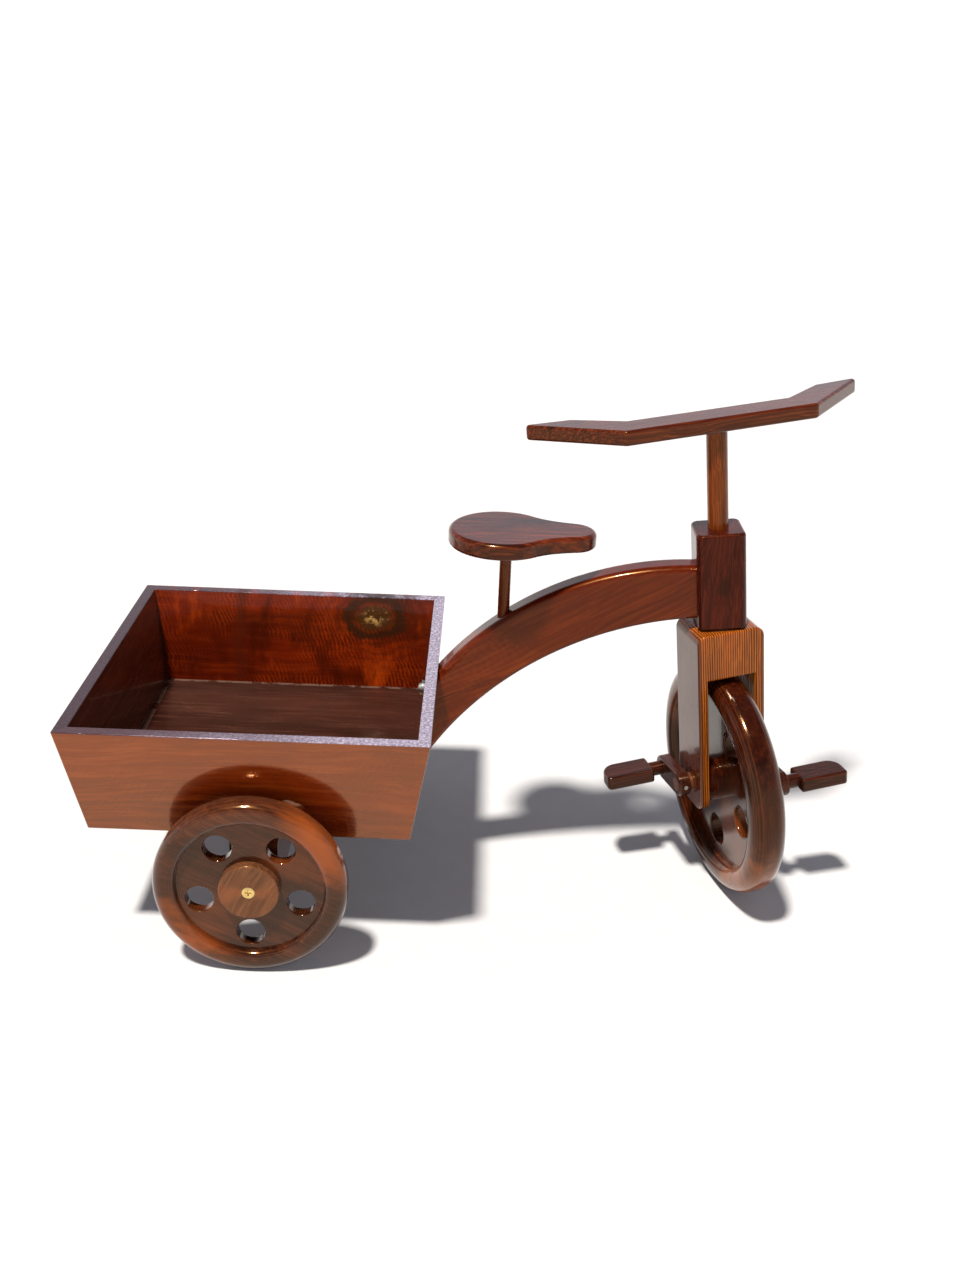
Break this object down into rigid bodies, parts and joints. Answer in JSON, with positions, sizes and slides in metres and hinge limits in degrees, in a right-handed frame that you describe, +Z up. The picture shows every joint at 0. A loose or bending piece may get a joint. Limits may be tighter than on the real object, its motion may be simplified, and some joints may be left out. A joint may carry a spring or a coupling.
{
  "type": "wooden tricycle",
  "caption": "Child's wooden tricycle with a flared open cargo tray between the rear wheels, a curved beam, a paddle-shaped seat and a flat handlebar; the front wheel is pedalled directly.",
  "frame": {"origin": "on the ground, at the middle of the overall length and width in the parked pose", "axes": "+X forward (from the cargo tray towards the front wheel), +Y to the rider's left, +Z up"},
  "size_m": [0.714, 0.364, 0.4923],
  "materials": {
    "tray_wood": "gloss varnish",
    "frame_wood": "gloss varnish",
    "wheel_wood": "gloss varnish",
    "seat_wood": "gloss varnish",
    "fork_wood": "gloss varnish",
    "pedal_wood": "gloss varnish",
    "dowel_wood": "gloss varnish",
    "washer_wood": "waxed",
    "brass": "bright",
    "steel": "zinc plated"
  },
  "bodies": {
    "frame": {"rear_panel": "tray_wood", "front_panel": "tray_wood", "right_side_panel": "tray_wood", "left_side_panel": "tray_wood", "cargo_floor": "tray_wood", "panel_nails": "steel", "rear_axle_beam": "frame_wood", "axle_beam_screws": "steel", "rear_axle": "dowel_wood", "right_hub_screw": "brass", "left_hub_screw": "brass", "right_hub_cap": "wheel_wood", "left_hub_cap": "wheel_wood", "right_hub_washer": "dowel_wood", "left_hub_washer": "dowel_wood", "curved_beam": "frame_wood", "beam_bolt": "steel", "beam_bolt_washer": "steel", "beam_foot_dowel": "dowel_wood", "head_block": "frame_wood", "beam_dowels": "dowel_wood", "keeper_pin": "steel", "seat_post": "dowel_wood", "seat": "seat_wood"},
    "steering": {"fork": "fork_wood", "steering_stem": "dowel_wood", "stem_cross_pin": "dowel_wood", "thrust_washer": "washer_wood", "handlebar": "seat_wood", "bar_pin": "dowel_wood"},
    "front_wheel_set": {"front_wheel": "wheel_wood", "front_axle": "dowel_wood", "wheel_key_pin": "dowel_wood", "right_crank": "pedal_wood", "right_crank_pin": "steel", "left_crank": "pedal_wood", "left_crank_pin": "steel"},
    "right_pedal_set": {"right_pedal": "pedal_wood", "right_pedal_screw": "steel"},
    "left_pedal_set": {"left_pedal": "pedal_wood", "left_pedal_screw": "steel"},
    "right_rear_wheel": {"right_rear_wheel": "wheel_wood"},
    "left_rear_wheel": {"left_rear_wheel": "wheel_wood"}
  },
  "joints": [
    {"name": "steering", "type": "hinge", "parent": "frame", "child": "steering", "pos_m": [0.21993, 0, 0.31244], "axis": [-0.1132, 0, 0.9936], "continuous": true},
    {"name": "front_wheel_spin", "type": "hinge", "parent": "steering", "child": "front_wheel_set", "pos_m": [0.24257, 0, 0.11373], "axis": [0.9597, 0.2588, 0.1093], "continuous": true},
    {"name": "right_pedal_spin", "type": "hinge", "parent": "front_wheel_set", "child": "right_pedal_set", "pos_m": [0.19232, 0.02767, 0.10519], "axis": [0.9597, 0.2588, 0.1093], "continuous": true},
    {"name": "left_pedal_spin", "type": "hinge", "parent": "front_wheel_set", "child": "left_pedal_set", "pos_m": [0.29282, -0.02767, 0.12226], "axis": [0.9597, 0.2588, 0.1093], "continuous": true},
    {"name": "right_rear_wheel_spin", "type": "hinge", "parent": "frame", "child": "right_rear_wheel", "pos_m": [-0.19043, -0.168, 0.085], "axis": [0, 1, 0], "continuous": true},
    {"name": "left_rear_wheel_spin", "type": "hinge", "parent": "frame", "child": "left_rear_wheel", "pos_m": [-0.19043, 0.168, 0.085], "axis": [0, 1, 0], "continuous": true}
  ]
}
